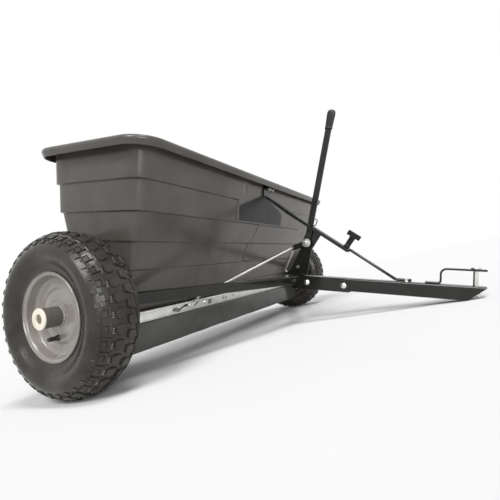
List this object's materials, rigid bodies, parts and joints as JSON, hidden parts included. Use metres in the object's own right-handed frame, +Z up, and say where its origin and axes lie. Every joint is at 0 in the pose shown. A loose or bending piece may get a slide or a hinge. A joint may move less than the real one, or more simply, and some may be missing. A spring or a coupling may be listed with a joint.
{
  "type": "tow-behind drop spreader",
  "caption": "Tow-behind drop spreader: long ribbed hopper on two wheels, with a drawbar, a hand lever, a closure slide and an agitator axle.",
  "frame": {"origin": "the floor under the middle of the machine's bounding box, as it stands parked on its wheels and the tongue's nose", "axes": "+X across to the left-hand wheel (seen from behind), -Y towards the hitch, +Z up"},
  "size_m": [1.368, 0.9524, 0.6333],
  "materials": {
    "hopper_poly": "moulded black polyethylene with a fine grain",
    "tyre_rubber": "knobbed black rubber",
    "rim_paint": "grey gloss enamel on pressed steel",
    "bush_nylon": "natural nylon",
    "valve_rubber": "black rubber valve stem",
    "zinc_plate": "bright zinc plate",
    "grip_vinyl": "dipped black vinyl",
    "knob_plastic": "moulded black plastic",
    "black_paint": "black gloss powder coat on steel"
  },
  "bodies": {
    "frame": {"axle_bearing_left": "bush_nylon", "axle_bearing_right": "bush_nylon", "bracket_stay": "zinc_plate", "control_strap": "black_paint", "end_plate_left": "black_paint", "end_plate_right": "black_paint", "frame_rail_left": "black_paint", "frame_rail_right": "black_paint", "front_deflector": "black_paint", "hair_pin": "zinc_plate", "hitch_bracket": "black_paint", "hitch_pin": "zinc_plate", "hitch_strap": "black_paint", "hopper": "hopper_poly", "lever_bracket": "black_paint", "lever_catch": "black_paint", "pivot_bolt": "zinc_plate", "rear_deflector": "black_paint", "stop_knob": "knob_plastic", "strap_brace": "black_paint", "tongue": "black_paint"},
    "axle_drive": {"axle": "zinc_plate", "agitator": "zinc_plate", "left_tyre": "tyre_rubber", "left_rim": "rim_paint", "left_hub": "rim_paint", "left_bush": "bush_nylon", "left_valve": "valve_rubber"},
    "free_wheel": {"right_tyre": "tyre_rubber", "right_rim": "rim_paint", "right_hub": "rim_paint", "right_bush": "bush_nylon", "right_valve": "valve_rubber"},
    "lever": {"control_lever": "black_paint", "lever_grip": "grip_vinyl"},
    "closure": {"closure_slide": "zinc_plate", "slide_lug": "zinc_plate"},
    "link": {"link_rod": "zinc_plate"}
  },
  "joints": [
    {"name": "axle_turn", "type": "hinge", "parent": "frame", "child": "axle_drive", "pos_m": [0, 0.30517, 0.171], "axis": [1, 0, 0], "continuous": true},
    {"name": "free_wheel_turn", "type": "hinge", "parent": "frame", "child": "free_wheel", "pos_m": [-0.6215, 0.30517, 0.171], "axis": [1, 0, 0], "continuous": true},
    {"name": "lever_swing", "type": "hinge", "parent": "frame", "child": "lever", "pos_m": [0, -0.02267, 0.24828], "axis": [1, 0, 0], "range_deg": [0, 52]},
    {"name": "closure_travel", "type": "slide", "parent": "frame", "child": "closure", "axis": [1, 0, 0], "range_m": [0, 0.0257]},
    {"name": "link_swing", "type": "hinge", "parent": "closure", "child": "link", "pos_m": [-0.272, 0.24256, 0.14952], "axis": [0, -0.9681, -0.2507], "range_deg": [0, 9.12]}
  ],
  "couplings": [
    {"joint": "closure_travel", "follows": "lever_swing", "m_per_rad": 0.028314},
    {"joint": "link_swing", "follows": "lever_swing", "ratio": 0.17537}
  ]
}
